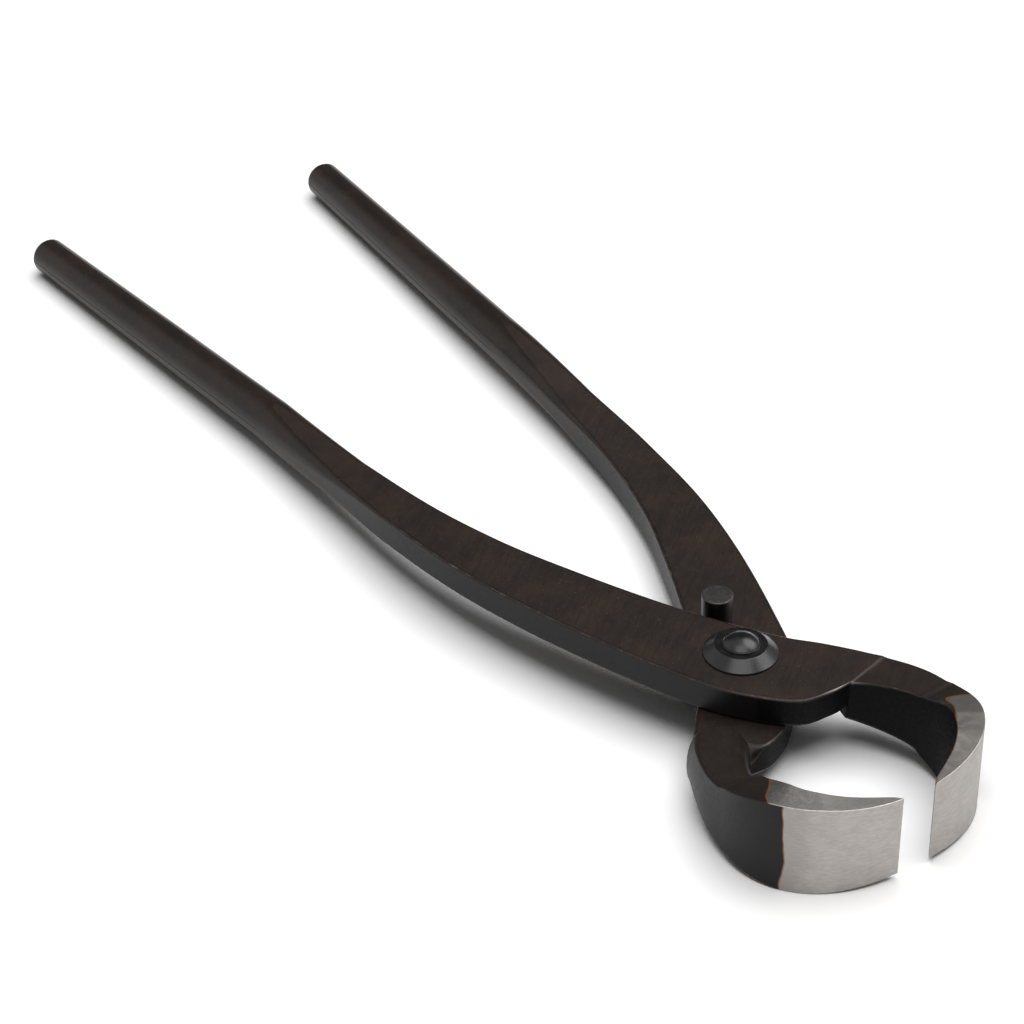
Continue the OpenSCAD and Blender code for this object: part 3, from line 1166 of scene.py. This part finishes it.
def new_material(name: str) -> tuple[Material, Graph, Node]:
    """Starts a material.

    Args:
        name: Its name.

    Returns:
        The material, its graph and its shader node.
    """
    material = bpy.data.materials.new(name)
    graph = fresh_graph(material)
    shader = graph.node("ShaderNodeBsdfPrincipled")
    graph.fill(graph.node("ShaderNodeOutputMaterial"), surface=shader.outputs[0])
    return material, graph, shader


@dataclass(frozen=True)
class ForgedFinish:
    """Black oxide on forged steel, worn at the corners and ground bright round the cutting edges, with bright steel
    also laid on the nose corner and the ridge as a painted highlight.
    """

    name: str = "forged_oxide_steel"
    gloss: float = 0.3
    oxide: Colour = (0.0135, 0.0108, 0.0095)
    brown: Colour = (0.026, 0.0172, 0.0130)
    speck: Colour = (0.075, 0.062, 0.05)
    slate: Colour = (0.0058, 0.0052, 0.006)
    pitted: Colour = (0.0048, 0.0044, 0.0048)
    worn: Colour = (0.17, 0.12, 0.085)
    bright: Colour = (0.54, 0.51, 0.48)
    bright_dull: Colour = (0.39, 0.365, 0.34)
    warm: Colour = (0.42, 0.36, 0.315)
    tint: Colour = (0.30, 0.125, 0.045)

    def material(self, effects: Effects) -> Material:
        """Lays the finish out in nodes.

        Args:
            effects: The shared effects.

        Returns:
            The material.
        """
        made, g, shader = new_material(self.name)
        shader.inputs["Specular IOR Level"].default_value = self.gloss
        mm = g.millimetres()
        shine, wear, polish_and_highlight, pit, flat, wall = (g.mark(mark) for mark in Mark)
        clouds = g.group(effects.mottle, place=mm, scale=0.11)
        lines = g.group(effects.scratches, place=mm, turn=math.radians(52), scale=1.0)
        cross = g.group(effects.scratches, place=mm, turn=math.radians(-12), scale=0.8)
        corners = g.group(effects.worn, place=mm, corner=wear, reach=0.18)
        pits = g.group(effects.pits, place=mm, scale=1.9)
        fine = g.group(effects.mottle, place=mm, scale=0.6)
        clouds = g.plus(g.times(clouds, 0.65), g.times(fine, 0.35))
        oxide = g.blend(clouds, self.oxide, self.brown)
        specks = g.step(g.noise(mm, 2.6, 3.0, 0.6), 0.66, 0.71)
        layers = ((specks, 0.7, self.speck), (wall, 0.9, self.slate), (pit, 0.9, self.pitted),
                  (corners, 0.85, self.worn))
        for mask, share, layer in layers:
            oxide = g.blend(g.times(mask, share), oxide, layer)
        wavy = g.noise(mm, 0.2, 2.0, 0.35)
        border = g.plus(shine, g.times(g.calc("SUBTRACT", wavy, 0.5), 1.8))
        ground = g.step(border, -0.07, 0.07)
        # The polish mark makes the nose corner and the ridge line bright ground steel: partly rubbed steel, partly a
        # painted highlight.
        ground = g.calc("MAXIMUM", ground, g.times(polish_and_highlight, 0.75))
        near = g.calc("SUBTRACT", 1.0, g.times(g.calc("ABSOLUTE", border), 5.0), True)
        streaks = g.group(effects.scratches, place=mm, turn=math.radians(35), scale=2.4)
        rings = g.group(effects.rings, place=mm, scale=2.6)
        grain = g.between(flat, rings, streaks)
        stain = g.group(effects.mottle, place=mm, scale=0.35)
        dim = g.plus(g.times(grain, 0.6), g.times(stain, 0.25))
        dim = g.plus(dim, g.step(border, 0.0, 6.0, 0.75, 0.0))
        steel = g.blend(dim, self.bright, self.bright_dull)
        steel = g.blend(g.times(flat, 0.5), steel, self.warm)
        colour = g.blend(ground, oxide, steel)
        colour = g.blend(g.times(near, 0.75), colour, self.tint)
        dull = g.between(g.calc("MAXIMUM", flat, wall), 0.27, g.between(lines, 0.38, 0.46))
        dull = g.between(pit, dull, g.between(pits, 0.5, 0.34))
        height = g.times(g.times(lines, flat), 0.25)
        height = g.plus(height, g.times(g.times(cross, flat), 0.2))
        height = g.plus(height, g.times(pits, pit))
        height = g.plus(height, g.times(clouds, 0.6))
        g.fill(shader, base_color=colour, metallic=g.calc("MAXIMUM", ground, g.times(corners, 0.6)),
               roughness=g.between(ground, dull, g.between(grain, 0.36, 0.46)), normal=g.bump(height, 0.6, 0.00003))
        return made


@dataclass(frozen=True)
class HardwareFinish:
    """Satin black on turned steel."""

    name: str = "black_turned_steel"
    black: Colour = (0.007, 0.007, 0.0078)
    grey: Colour = (0.013, 0.0125, 0.0125)
    rough: float = 0.13

    def material(self, effects: Effects) -> Material:
        """Lays the finish out in nodes.

        Args:
            effects: The shared effects.

        Returns:
            The material.
        """
        made, g, shader = new_material(self.name)
        mm = g.millimetres()
        clouds = g.group(effects.mottle, place=mm, scale=0.5)
        pits = g.group(effects.pits, place=mm, scale=3.0)
        g.fill(shader, base_color=g.blend(clouds, self.black, self.grey),
               roughness=g.between(clouds, self.rough, self.rough + 0.08), normal=g.bump(pits, 0.4, 0.00001))
        return made


@dataclass(frozen=True)
class PinFinish:
    """A blackened pin whose flat end is rubbed to a dull grey."""

    name: str = "stop_pin_steel"
    black: Colour = (0.004, 0.0038, 0.0036)
    rubbed: Colour = (0.09, 0.086, 0.08)
    top_level: float = 13.92
    rim_level: float = 13.72

    def material(self, effects: Effects) -> Material:
        """Lays the finish out in nodes.

        Args:
            effects: The shared effects.

        Returns:
            The material.
        """
        made, g, shader = new_material(self.name)
        mm = g.millimetres()
        clouds = g.group(effects.mottle, place=mm, scale=0.9)
        grain = g.group(effects.scratches, place=mm, turn=math.radians(20), scale=2.0)
        end = g.step(g.height(mm), self.rim_level, self.top_level)
        colour = g.blend(g.between(end, 0.0, g.between(clouds, 0.9, 0.6)), self.black, self.rubbed)
        g.fill(shader, base_color=colour, metallic=g.times(end, 0.8),
               roughness=g.between(end, 0.3, g.between(grain, 0.44, 0.56)),
               normal=g.bump(g.plus(clouds, grain), 0.35, 0.00001))
        return made


@dataclass
class Studio:
    """The white sheet, the lamp, the surroundings and the camera of the photograph.

    The eye's place is in millimetres from the pivot. The sheet and the lamp are in metres in the frame.
    """

    focal_px: float = 3392.43
    image_px: float = 1024.0
    sensor: float = 36.0
    elevation: float = 34.95
    heading: float = 56.13
    roll: float = 0.13
    eye: Triple = (312.85, -250.78, 309.36)
    sheet: float = 0.86
    sheet_seen: float = 1.1
    sheet_half: float = 6.0
    sheet_drop: float = 0.00003
    sheet_steps: int = 24
    rise: float = 0.00442
    rise_from: float = 0.05
    rise_to: float = -0.112
    sky: float = 0.3
    horizon: float = 0.05
    backdrop: float = 0.9
    studio: float = 0.1
    dark_side: Triple = (-0.801, 0.540, 0.259)
    box_side: Triple = (0.122, 0.586, 0.801)
    box_level: float = 5.0
    front_side: Triple = (0.41, -0.25, 0.88)
    front_level: float = 2.2
    lamp_place: Triple = (0.0, 0.12, 1.1)
    lamp_aim_x: float = 0.02
    lamp_size: float = 1.3
    lamp_power: float = 16.0

    def camera(self, setting: Setting) -> None:
        """Sets the camera up as fitted to the photograph.

        Args:
            setting: Where the drawing stands in the frame.
        """
        phi, tilt, roll = (math.radians(v) for v in (self.heading, self.elevation, self.roll))
        right = Vector((math.cos(phi), math.sin(phi), 0))
        away = Vector((-math.sin(phi), math.cos(phi), 0))
        ahead = away * math.cos(tilt) - Vector((0, 0, math.sin(tilt)))
        up = away * math.sin(tilt) + Vector((0, 0, math.cos(tilt)))
        side = right * math.cos(roll) + up * math.sin(roll)
        top = up * math.cos(roll) - right * math.sin(roll)
        data = bpy.data.cameras.new("camera")
        data.sensor_width = self.sensor
        data.lens = self.focal_px / self.image_px * self.sensor
        data.clip_start = 0.01
        seen = add_object("camera", data)
        turn = Matrix((side, top, -ahead)).transposed().to_4x4()
        x, y, z = self.eye
        turn.translation = Vector((x + setting.pivot_x, y + setting.pivot_y, z + setting.pivot_z)) * MM
        seen.matrix_world = turn
        bpy.context.scene.camera = seen

    def floor(self) -> None:
        """Lays the white sheet, which rises a little so that it meets the handles' ends too."""
        mesh = bpy.data.meshes.new("sheet")
        half, steps = self.sheet_half, [i / self.sheet_steps for i in range(self.sheet_steps + 1)]
        line = [(half, 0.0)] + [(mix(self.rise_from, self.rise_to, f), self.rise * ramp(f)) for f in steps]
        line.append((-half, self.rise))
        points = [(x, y, z - self.sheet_drop) for x, z in line for y in (-half, half)]
        mesh.from_pydata(points, [], [(2 * i, 2 * i + 1, 2 * i + 3, 2 * i + 2) for i in range(len(line) - 1)])
        mesh.shade_smooth()
        sheet = add_object("white_sheet", mesh)
        material = bpy.data.materials.new("white_sheet")
        g = fresh_graph(material)
        light = g.node("ShaderNodeLightPath")
        level = g.between(light.outputs["Is Camera Ray"], self.sheet, self.sheet_seen)
        paper = g.fill(g.node("ShaderNodeBsdfDiffuse"), color=level)
        g.fill(g.node("ShaderNodeOutputMaterial"), surface=paper.outputs[0])
        mesh.materials.append(material)

    @staticmethod
    def towards(g: Graph, place: Value, side: Sequence[float], low: float, high: float, away: float,
                near: float) -> Socket:
        """A value that changes softly from one level to another near one direction."""
        return g.step(g.vector("DOT_PRODUCT", place, side).outputs["Value"], low, high, away, near)

    def world(self) -> None:
        """Lights the surroundings: reflections show a pale room with two soft boxes and a dark side."""
        world = bpy.data.worlds.new("surroundings")
        bpy.context.scene.world = world
        g = fresh_graph(world)
        place = g.node("ShaderNodeTexCoord").outputs["Generated"]
        light = g.node("ShaderNodeLightPath")
        level = g.step(g.height(place), 0.3, 0.85, self.horizon, self.sky)
        shown = self.towards(g, place, self.box_side, 0.85, 0.96, self.backdrop, self.box_level)
        front = self.towards(g, place, self.front_side, 0.85, 0.97, 0.0, self.front_level)
        shown = g.plus(shown, front)
        shade = self.towards(g, place, self.dark_side, 0.52, 0.88, 1.0, self.studio / self.backdrop)
        strength = g.between(light.outputs["Is Glossy Ray"], level, g.times(shown, shade))
        strength = g.between(light.outputs["Is Camera Ray"], strength, 1.0)
        back = g.fill(g.node("ShaderNodeBackground"), strength=strength)
        g.fill(g.node("ShaderNodeOutputWorld"), surface=back.outputs[0])

    def lamp(self) -> None:
        """Hangs the square soft lamp, facing the tool. Reflections don't show it."""
        data = bpy.data.lights.new("soft_box", "AREA")
        data.size = self.lamp_size
        data.energy = self.lamp_power
        hung = add_object("soft_box", data)
        hung.location = self.lamp_place
        hung.visible_glossy = False
        aim = Vector((self.lamp_aim_x, 0, 0)) - hung.location
        hung.rotation_euler = aim.to_track_quat("-Z", "Y").to_euler()

    def build(self, setting: Setting) -> None:
        """Sets the whole studio up.

        Args:
            setting: Where the drawing stands in the frame.
        """
        self.camera(setting)
        self.floor()
        self.world()
        self.lamp()
        bpy.context.scene.view_settings.view_transform = "Standard"


def main() -> None:
    """Builds the tool round the frame, piece by piece, and sets it in the studio."""
    logging.basicConfig(level=logging.INFO, format="%(name)s: %(message)s")
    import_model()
    setting = Setting()
    effects = Effects()
    forged = ForgedFinish().material(effects)
    scaled = ForgedFinish("forge_scale_steel", 0.1).material(effects)
    hardware = HardwareFinish().material(effects)
    arms = (ForgedArm(Arm.UPPER, "upper_arm", "upper_arm_body"), ForgedArm(Arm.LOWER, "lower_arm", "lower_arm_body"))
    pieces = [arm.build(setting, forged, scaled) for arm in arms] + RivetJoint().build(setting, hardware)
    pieces.append(StopPin().build(setting, PinFinish().material(effects)))
    for piece in pieces:
        LOG.info("%s: %d faces", piece.name, len(piece.data.polygons))
    Studio().build(setting)


if __name__ == "__main__":
    main()
